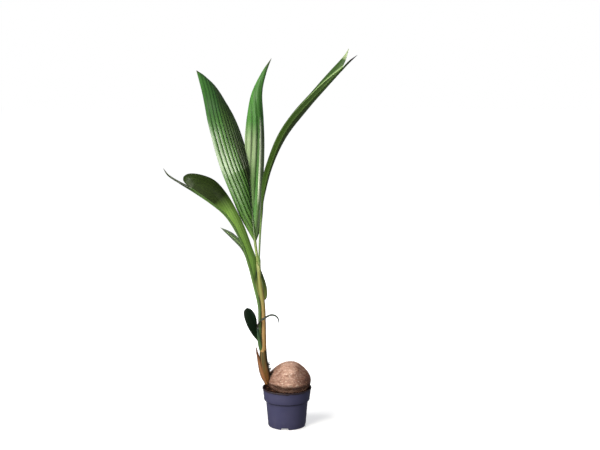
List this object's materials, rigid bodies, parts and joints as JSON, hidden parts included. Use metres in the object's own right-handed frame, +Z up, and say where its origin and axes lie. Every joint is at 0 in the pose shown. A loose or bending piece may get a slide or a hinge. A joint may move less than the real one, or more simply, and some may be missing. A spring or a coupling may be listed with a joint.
{
  "type": "potted coconut palm seedling",
  "caption": "Young coconut palm sprouting from its husked nut, with broad undivided pleated leaves on a slim stem, in a plain plastic nursery pot.",
  "frame": {"origin": "centre of the pot's underside", "axes": "+Z up, +X along the nut away from the sprout, -Y the side that the leaves face"},
  "size_m": [0.7197, 0.24, 1.4409],
  "materials": {
    "pot": "moulded grey-violet plastic, satin",
    "soil": "damp dark peat, rough",
    "nut": "dry brown husk, fibrous",
    "sheath": "leaf sheaths, satin, straw to green",
    "scale": "dry brown sheath, papery",
    "stalk": "leaf stalk and rib, satin green",
    "blade": "pleated leaf, waxy green",
    "dark_blade": "old small leaf, waxy blue-green"
  },
  "bodies": {
    "root": {"pot": "pot", "soil": "soil", "nut": "nut", "stem": "sheath", "scale_leaf": "scale", "first_leaf_stalk": "stalk", "hidden_leaf_stalk": "stalk", "left_leaf_stalk": "stalk", "middle_leaf_stalk": "stalk", "right_leaf_stalk": "stalk", "first_leaf_tendril": "dark_blade", "first_leaf_oval_half": "dark_blade", "hidden_leaf_right_half": "blade", "hidden_leaf_left_half": "blade", "left_leaf_upper_half": "blade", "left_leaf_lower_half": "blade", "middle_leaf_left_half": "blade", "middle_leaf_right_half": "blade", "right_leaf_left_half": "blade", "right_leaf_right_half": "blade"}
  },
  "joints": []
}
